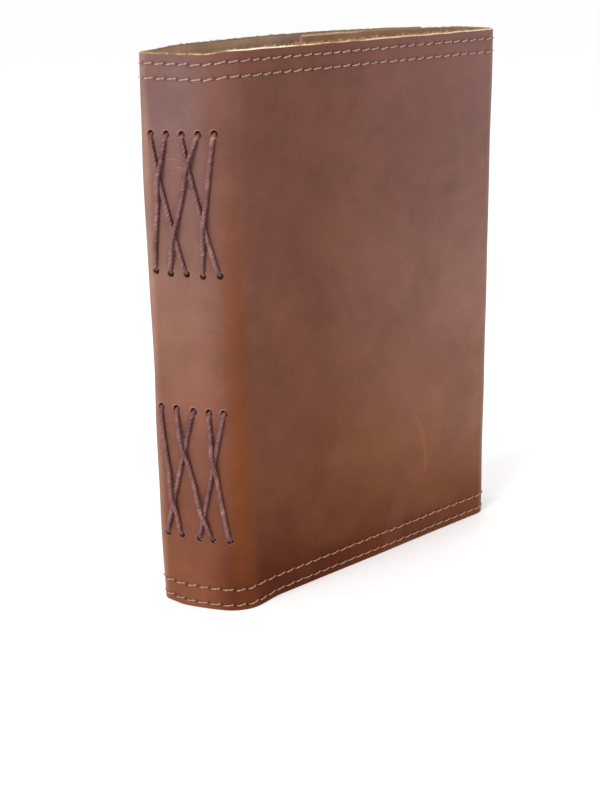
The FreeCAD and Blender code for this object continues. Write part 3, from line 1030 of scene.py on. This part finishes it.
def stitch_tubes(runs, inside, seed):
    """Both plies of each stitch as closed tubes. inside puts them on the flesh side."""
    rng = np.random.default_rng(seed)
    count = len(runs)
    jitter = rng.normal(0, 1, (count, 4))
    t = np.linspace(0, 1, STITCH_RINGS)[None, :]
    length = np.hypot(runs[:, 2] - runs[:, 0], runs[:, 3] - runs[:, 1])[:, None]
    along_s = (runs[:, 2] - runs[:, 0])[:, None] / length
    along_z = (runs[:, 3] - runs[:, 1])[:, None] / length
    tight = smooth(0.0, 15 * MM, runs[:, :1]) * (runs[:, 1:2] < BOOK_HEIGHT / 2)
    margin = (STITCH_MARGIN - TIGHT_MARGIN * tight) * MM
    travel = margin + (length - 2 * margin) * t
    lean = (STITCH_LEAN + 0.05 * MM * jitter[:, :1]) * np.sin((t - 0.5) * math.pi)
    lean = -lean if inside else lean
    rise = STITCH_RISE + 0.07 * jitter[:, 1:2]
    height = STITCH_FOOT + rise * MM * np.sin(math.pi * t) ** 0.42
    s = runs[:, :1] + travel * along_s - lean * along_z
    z = runs[:, 1:2] + travel * along_z + lean * along_s + 0.06 * MM * jitter[:, 2:3]
    parts = []
    for ply in (0, 1):
        spin = 2 * math.pi * PLY_TURNS * t + math.pi * ply + 0.6 * jitter[:, 3:4]
        side = PLY_OFFSET * np.cos(spin)
        out = PLY_OFFSET * np.sin(spin) * 0.8
        around = np.linspace(0, 2 * math.pi, PLY_SIDES, endpoint=False)[None, None, :]
        thick = PLY_RADIUS * (0.75 + 0.25 * np.sin(math.pi * t) ** 0.5)[:, :, None]
        across = side[:, :, None] + thick * np.cos(around)
        high = (height + out)[:, :, None] + thick * np.sin(around)
        at_s = s[:, :, None] - across * along_z[:, :, None]
        at_z = z[:, :, None] + across * along_s[:, :, None]
        depth = HIDE + high if inside else -high
        points = on_sheet(at_s, at_z, depth)
        uv = np.broadcast_to(
            np.stack([travel[:, :, None] + np.zeros_like(across) + rng.uniform(0, 1, (count, 1, 1)),
                      np.broadcast_to(around, across.shape) * PLY_RADIUS], axis=-1), across.shape + (2,),
        )
        parts.append((points.reshape(count, -1, 3), uv.reshape(count, -1, 2)))
    return parts


def tube_faces(base, flip):
    """The faces of one stitch's ply and its two ends, numbered from base."""
    rings = np.arange(base, base + STITCH_RINGS * PLY_SIDES).reshape(STITCH_RINGS, PLY_SIDES).tolist()
    faces = []
    for one, two in zip(rings, rings[1:]):
        faces += ring_faces(one, two)
    faces += [tuple(rings[0][::-1]), tuple(rings[-1])]
    return [face[::-1] for face in faces] if flip else faces


def stitch_piece(name, start, end):
    """Every stitch between two places along the sheet, on both sides of the hide."""
    runs = stitch_runs()
    middle = (runs[:, 0] + runs[:, 2]) / 2
    runs = runs[(middle > start) & (middle < end)]
    vertices, uvs, faces, kinds = [], [], [], []
    base = 0
    for inside in (False, True):
        for points, uv in stitch_tubes(runs, inside, 40 + inside):
            for k in range(len(runs)):
                vertices.append(points[k])
                uvs.append(uv[k])
                tube = tube_faces(base, flip=not inside)
                faces += tube
                kinds += [int(inside)] * len(tube)
                base += STITCH_RINGS * PLY_SIDES
    return add_mesh(name, np.concatenate(vertices), faces, [thread, inner_thread], np.concatenate(uvs), kinds)


for panel, (start, end, body_a, body_b, blend_from, blend_to) in PANELS.items():
    piece = hide_piece(f"{panel}_hide", start, end, leather)
    leather_nodes = [f"{panel}_leather"] + (["spine_leather"] if panel == "front_cover" else [])
    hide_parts(*leather_nodes)
    spot(blend_from)
    spot(blend_to)
    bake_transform(piece)
    seam = stitch_piece(f"{panel}_stitching", start, end)
    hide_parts(*stitch_nodes(panel))
    spot(blend_from)
    spot(blend_to)
    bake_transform(seam)

# ---------------- lacing
# (top hole, bottom hole, where it crosses over another run, how far it bows to the front in mm)
UPPER_RUNS = (
    (1, 3, (), -0.8), (3, 5, (), -0.8),
    (5, 4, (2 / 3,), -0.7), (4, 2, (1 / 4, 3 / 4), -1.2), (2, 1, (1 / 3,), -0.9),
)
LOWER_RUNS = (
    (1, 2, (2 / 3,), -0.7), (2, 4, (1 / 4, 3 / 4), -1.1), (4, 5, (1 / 3,), -0.8),
    (5, 3, (), 0.2), (3, 1, (), -0.1),
)
CORD_HEIGHT = CORD_RADIUS * 0.98
CORD_SIDES = 20
CORD_STEP = 0.45 * MM
CORD_LAY = 5.2 * MM  # one turn of the strands takes this much cord


def outside_points(top, bottom, crossings, bow, station):
    """One outside run as (s, z, depth) knots, from inside its top hole to inside its bottom hole."""
    (s0, z0), (s1, z1) = hole_centre(top, station[0]), hole_centre(bottom, station[1])
    length = math.hypot(s1 - s0, z1 - z0)
    pulled = 0.42 * MM / length
    knots = []
    for share in np.linspace(pulled, 1 - pulled, 61):
        edge = min(share, 1 - share) * length
        over = sum(0.5 + 0.5 * math.cos(math.pi * min(1.0, abs(share - c) / 0.2)) for c in crossings)
        height = CORD_HEIGHT + 1.75 * CORD_RADIUS * min(over, 1.0)
        height -= (CORD_HEIGHT + 1.3 * MM) * (1 - smooth(-0.6 * MM, 2.5 * MM, edge))
        drift = bow * MM * math.sin(math.pi * share) ** 0.8
        knots.append((s0 + (s1 - s0) * share + drift, z0 + (z1 - z0) * share, -height))
    return knots


def lacing_route(runs, station):
    """The whole closed loop: each outside run, through the hide, up or down inside the fold."""
    knots = []
    for top, bottom, crossings, bow in runs:
        knots += outside_points(top, bottom, crossings, bow, station)
        s_low, z_low = hole_centre(bottom, station[1])
        s_fold = column_s(bottom)
        s_high, z_high = hole_centre(bottom, station[0])
        knots += [(s_low, z_low, 1.4 * MM), (s_low, z_low, 3.4 * MM), (s_fold, z_low, FOLD_DEPTH)]
        knots += [(s_fold, z, FOLD_DEPTH) for z in np.linspace(z_low, z_high, 24)[1:-1]]
        knots += [(s_fold, z_high, FOLD_DEPTH), (s_high, z_high, 3.4 * MM), (s_high, z_high, 1.4 * MM)]
    return np.array(knots)


def ordered(runs):
    """The runs in the order in which the cord takes them: down one, up inside, down the next."""
    by_top = {run[0]: run for run in runs}
    chain = [runs[0]]
    while len(chain) < len(runs):
        chain.append(by_top[chain[-1][1]])
    return chain


def evenly(points, spacing, passes):
    """A closed polyline, eased and then cut into even steps."""
    for _ in range(passes):
        points = (np.roll(points, 1, axis=0) + 2 * points + np.roll(points, -1, axis=0)) / 4
    closed = np.concatenate([points, points[:1]])
    reach = reach_along(closed)
    steps = np.linspace(0, reach[-1], int(reach[-1] / spacing), endpoint=False)
    return np.stack([np.interp(steps, reach, closed[:, k]) for k in range(3)], axis=1), reach[-1]


def carried_sides(tangent):
    """A direction across the cord at each ring, carried along without a twist."""
    sides = np.zeros_like(tangent)
    side = Vector((1.0, 0.3, 0.2))
    for k, ahead in enumerate(map(Vector, tangent)):
        side = (side - side.dot(ahead) * ahead).normalized()
        sides[k] = side
    return sides


def lacing_piece(name, runs, station):
    """One laid cord, swept round its closed route without a twist where the loop meets."""
    route = lacing_route(ordered(runs), station)
    points = on_sheet(route[:, 0], route[:, 1], route[:, 2])
    centre, length = evenly(points, CORD_STEP, 2)
    tangent = normalized(np.roll(centre, -1, axis=0) - np.roll(centre, 1, axis=0))
    rings = len(centre)
    sides = carried_sides(tangent)
    other = np.cross(tangent, sides)
    last = sides[-1] - sides[-1].dot(tangent[0]) * tangent[0]
    miss = math.atan2(last.dot(other[0]), last.dot(sides[0]))
    turns = round(length / CORD_LAY)  # whole turns, so that the strands meet
    twist = (2 * math.pi * turns - miss) * np.arange(rings)[:, None] / rings
    around = np.linspace(0, 2 * math.pi, CORD_SIDES, endpoint=False)[None, :]
    lobes = 0.93 + 0.07 * np.cos(3 * around)
    rng = np.random.default_rng(7)
    fuzz = 1 + 0.012 * rng.normal(size=(rings, CORD_SIDES))
    radius = CORD_RADIUS * lobes * fuzz
    angle = around + twist
    offset = (radius * np.cos(angle))[..., None] * sides[:, None, :]
    offset = offset + (radius * np.sin(angle))[..., None] * other[:, None, :]
    vertices = (centre[:, None, :] + offset).reshape(-1, 3)
    index = np.arange(len(vertices)).reshape(rings, CORD_SIDES).tolist()
    faces = []
    for k in range(rings):
        faces += ring_faces(index[k], index[(k + 1) % rings])
    along = np.arange(rings)[:, None] * length / rings
    uv = np.stack(np.broadcast_arrays(along + 0 * radius, around * CORD_RADIUS), axis=-1)
    return add_mesh(name, vertices, faces, [lacing], uv.reshape(-1, 2))


for group, runs in (("upper", UPPER_RUNS), ("lower", LOWER_RUNS)):
    piece = lacing_piece(f"{group}_lacing", runs, STATIONS[group])
    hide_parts(f"{group}_lacing_cord")
    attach(piece, "spine")

# ---------------- signatures
SHEETS = 8
SEWN_END = 22.0 * MM  # the pages keep to the hide's fold up to here, and lie along their signature's hinge line after it


PAGE_REACH = PAGE_WIDTH - SIGNATURE_HALF
PAGE_FOOT = (BOOK_HEIGHT - PAGE_HEIGHT) / 2
FOLD_BORE = 1.2 * MM  # the innermost sheet's fold goes round the cord
PAGE_ROWS = 22
TRIM, TRIM_SPREAD = 0.0006, 0.0009  # how much shorter than the reach a page is cut
TOP_SPREAD = 0.25 * MM
DECKLE = 0.28 * MM
PAGE_WAVE = 0.05 * MM
SHEET_SHIFT = 0.31  # each sheet takes its marks from this much further on


def signature_place(number):
    """Where a signature's fold is, and which way its pages point, in radians from x."""
    lean = math.radians(-SIGNATURE_TILT * (COLUMNS - number))
    return JOINTS[f"signature_{number}_hinge"]["pos_m"], lean


def sheet_section(sheet, ends):
    """One folded sheet from above: its middle line, and the closed outline round that line."""
    flat_off = SIGNATURE_HALF * (sheet + 0.5) / SHEETS
    fold_off = FOLD_BORE + (SIGNATURE_HALF - FOLD_BORE) * (sheet + 0.5) / SHEETS
    leg = np.concatenate([[0.0, 1.0, 2.5, 4.5, 7.0, 11.0], np.linspace(20, 140, 9)]) * MM
    pages = []
    for side, end in zip((1, -1), ends):
        page = [(x, side * (fold_off + (flat_off - fold_off) * smooth(0.0, 12 * MM, x))) for x in leg]
        pages.append(page + [(end - 1.5 * MM, side * flat_off), (end, side * flat_off)])
    arc = [(-fold_off * math.sin(a), fold_off * math.cos(a)) for a in np.linspace(0, math.pi, 9)[1:-1]]
    line = np.array(pages[0][::-1] + arc + pages[1])
    step = normalized(np.gradient(line, axis=0))
    normal = np.stack([-step[:, 1], step[:, 0]], axis=1)
    near_fold = 1 - smooth(0.0, 12 * MM, line[:, 0])
    half = (0.115 * (1 - near_fold) + 0.06 * near_fold) * MM
    return line, np.concatenate([line + normal * half[:, None], (line - normal * half[:, None])[::-1]])


def signature_piece(number):
    """Eight folded sheets of rag paper, sewn in at the fold and free at their deckled fore-edge."""
    rng = np.random.default_rng(60 + number)
    pivot, lean = signature_place(number)
    vertices, uvs, faces = [], [], []
    base = 0
    for sheet in range(SHEETS):
        line, section = sheet_section(sheet, PAGE_REACH - TRIM - TRIM_SPREAD * rng.random(2))
        count = len(section)
        line_reach = reach_along(line)
        along = np.concatenate([line_reach, line_reach[::-1]]) - line_reach[-1] / 2
        tip = smooth(PAGE_REACH - 4 * MM, PAGE_REACH, section[:, 0])
        top_cut = TOP_SPREAD * rng.random(2)
        index = np.arange(base, base + PAGE_ROWS * count).reshape(PAGE_ROWS, count).tolist()
        base += PAGE_ROWS * count
        for z in np.linspace(0, PAGE_HEIGHT, PAGE_ROWS):
            height = min(max(z, top_cut[0]), PAGE_HEIGHT - top_cut[1]) + PAGE_FOOT
            deckle = DECKLE * waves(np.array([z]), np.array([0.0]), 200 + 9 * number + sheet, (6, 40))[0]
            wave = PAGE_WAVE * waves(section[:, 0], np.full(count, z), 500 + sheet, (60, 140))
            x = section[:, 0] + deckle * tip
            y = section[:, 1] + wave * smooth(10 * MM, 40 * MM, section[:, 0])
            real = on_sheet(column_s(number), height, FOLD_DEPTH)
            share = 1 - smooth(2 * MM, SEWN_END, x)
            px = pivot[0] + x * math.cos(lean) - y * math.sin(lean) + (real[0] - pivot[0]) * share
            py = pivot[1] + x * math.sin(lean) + y * math.cos(lean) + (real[1] - pivot[1]) * share
            vertices.append(np.stack([px, py, np.full(count, height)], axis=1))
            u = along + (SHEETS - 1 - sheet) * SHEET_SHIFT
            uvs.append(np.stack([u, np.full(count, z + PAGE_FOOT)], axis=1))
        for below, here in zip(index, index[1:]):
            faces += ring_faces(below, here)
        for ring, turn in ((index[0], 1), (index[-1], -1)):
            for a in range(count // 2 - 1):
                faces.append((ring[a], ring[-1 - a], ring[-2 - a], ring[a + 1])[::turn])
    name = f"signature_{number}_pages"
    return add_mesh(name, np.concatenate(vertices), faces, [paper], np.concatenate(uvs))


for number in range(1, COLUMNS + 1):
    piece = signature_piece(number)
    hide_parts(f"signature_{number}")
    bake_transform(piece)


# ---------------- stage and light
FLOOR_HALF = 6.0


def add_stage():
    """A plain pale floor."""
    shader = Shader("floor")
    mesh = bpy.data.meshes.new("floor")
    corners = [(x * FLOOR_HALF, y * FLOOR_HALF, 0.0) for x, y in ((-1, -1), (1, -1), (1, 1), (-1, 1))]
    mesh.from_pydata(corners, [], [(0, 1, 2, 3)])
    mesh.materials.append(shader.finish(base_color=(0.94, 0.94, 0.94, 1.0), roughness=0.8))
    floor = add_object("floor", mesh)


def add_light(name, place, aim, size, power):
    """A rectangular softbox, size metres wide and high, turned towards its aim."""
    data = bpy.data.lights.new(name, "AREA")
    data.shape = "RECTANGLE"
    data.size, data.size_y = size
    data.energy = power
    light = add_object(name, data)
    light.location = place
    light.rotation_euler = (Vector(aim) - Vector(place)).to_track_quat("-Z", "Y").to_euler()


add_stage()
world = bpy.data.worlds.new("studio")
bpy.context.scene.world = world
world.use_nodes = True
world.node_tree.nodes["Background"].inputs["Color"].default_value = WHITE
world.node_tree.nodes["Background"].inputs["Strength"].default_value = 1.04
add_light("left_softbox", (-1.1, -0.2, 0.75), (-0.05, 0.0, 0.12), (0.7, 0.7), 12.0)
add_light("right_softbox", (1.2, -0.9, 0.6), (0.05, -0.03, 0.12), (1.0, 1.0), 4.0)
bpy.context.scene.view_settings.view_transform = "Standard"
